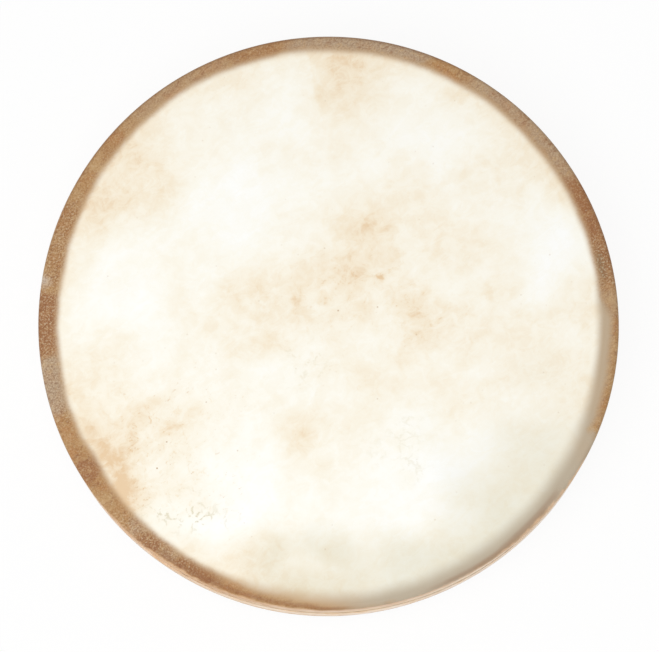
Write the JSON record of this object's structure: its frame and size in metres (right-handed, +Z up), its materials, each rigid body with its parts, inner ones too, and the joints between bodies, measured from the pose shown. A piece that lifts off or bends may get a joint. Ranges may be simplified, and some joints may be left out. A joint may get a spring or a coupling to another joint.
{
  "type": "ocean drum",
  "caption": "Shallow round ocean drum: goatskin heads glued over a bent laminated wood hoop, with loose steel shot inside that rolls across the skin and sounds like surf.",
  "frame": {"origin": "middle of the lower skin's outer face, which the drum lies on", "axes": "+Z up along the drum's axis, +X to the right and +Y towards the top of the picture"},
  "size_m": [0.3999, 0.4, 0.06],
  "materials": {
    "goatskin": "natural untanned goatskin, cream with peach and brown mottling",
    "hoop_wood": "bare pale plywood strips, lightly sanded",
    "steel_shot": "polished bearing balls"
  },
  "bodies": {
    "drum": {"hoop_outer_ply": "hoop_wood", "hoop_middle_ply": "hoop_wood", "hoop_inner_ply": "hoop_wood", "upper_skin": "goatskin", "lower_skin": "goatskin"},
    "shot_01": {"shot_lane_01": "steel_shot"},
    "shot_02": {"shot_lane_02": "steel_shot"},
    "shot_03": {"shot_lane_03": "steel_shot"},
    "shot_04": {"shot_lane_04": "steel_shot"},
    "shot_05": {"shot_lane_05": "steel_shot"},
    "shot_06": {"shot_lane_06": "steel_shot"},
    "shot_07": {"shot_lane_07": "steel_shot"},
    "shot_08": {"shot_lane_08": "steel_shot"},
    "shot_09": {"shot_lane_09": "steel_shot"},
    "shot_10": {"shot_lane_10": "steel_shot"},
    "shot_11": {"shot_lane_11": "steel_shot"},
    "shot_12": {"shot_lane_12": "steel_shot"},
    "shot_13": {"shot_lane_13": "steel_shot"},
    "shot_14": {"shot_lane_14": "steel_shot"},
    "shot_15": {"shot_lane_15": "steel_shot"}
  },
  "joints": [
    {"name": "lane_01_roll", "type": "slide", "parent": "drum", "child": "shot_01", "axis": [0, 1, 0], "range_m": [-0.0277, 0.0616]},
    {"name": "lane_02_roll", "type": "slide", "parent": "drum", "child": "shot_02", "axis": [0, 1, 0], "range_m": [-0.0738, 0.0667]},
    {"name": "lane_03_roll", "type": "slide", "parent": "drum", "child": "shot_03", "axis": [0, 1, 0], "range_m": [-0.0786, 0.0939]},
    {"name": "lane_04_roll", "type": "slide", "parent": "drum", "child": "shot_04", "axis": [0, 1, 0], "range_m": [-0.1074, 0.0891]},
    {"name": "lane_05_roll", "type": "slide", "parent": "drum", "child": "shot_05", "axis": [0, 1, 0], "range_m": [-0.105, 0.109]},
    {"name": "lane_06_roll", "type": "slide", "parent": "drum", "child": "shot_06", "axis": [0, 1, 0], "range_m": [-0.0999, 0.1262]},
    {"name": "lane_07_roll", "type": "slide", "parent": "drum", "child": "shot_07", "axis": [0, 1, 0], "range_m": [-0.1203, 0.1068]},
    {"name": "lane_08_roll", "type": "slide", "parent": "drum", "child": "shot_08", "axis": [0, 1, 0], "range_m": [-0.1103, 0.1191]},
    {"name": "lane_09_roll", "type": "slide", "parent": "drum", "child": "shot_09", "axis": [0, 1, 0], "range_m": [-0.1261, 0.1011]},
    {"name": "lane_10_roll", "type": "slide", "parent": "drum", "child": "shot_10", "axis": [0, 1, 0], "range_m": [-0.1115, 0.1088]},
    {"name": "lane_11_roll", "type": "slide", "parent": "drum", "child": "shot_11", "axis": [0, 1, 0], "range_m": [-0.0944, 0.114]},
    {"name": "lane_12_roll", "type": "slide", "parent": "drum", "child": "shot_12", "axis": [0, 1, 0], "range_m": [-0.1025, 0.0884]},
    {"name": "lane_13_roll", "type": "slide", "parent": "drum", "child": "shot_13", "axis": [0, 1, 0], "range_m": [-0.0854, 0.0877]},
    {"name": "lane_14_roll", "type": "slide", "parent": "drum", "child": "shot_14", "axis": [0, 1, 0], "range_m": [-0.0583, 0.0775]},
    {"name": "lane_15_roll", "type": "slide", "parent": "drum", "child": "shot_15", "axis": [0, 1, 0], "range_m": [-0.0533, 0.0371]}
  ]
}
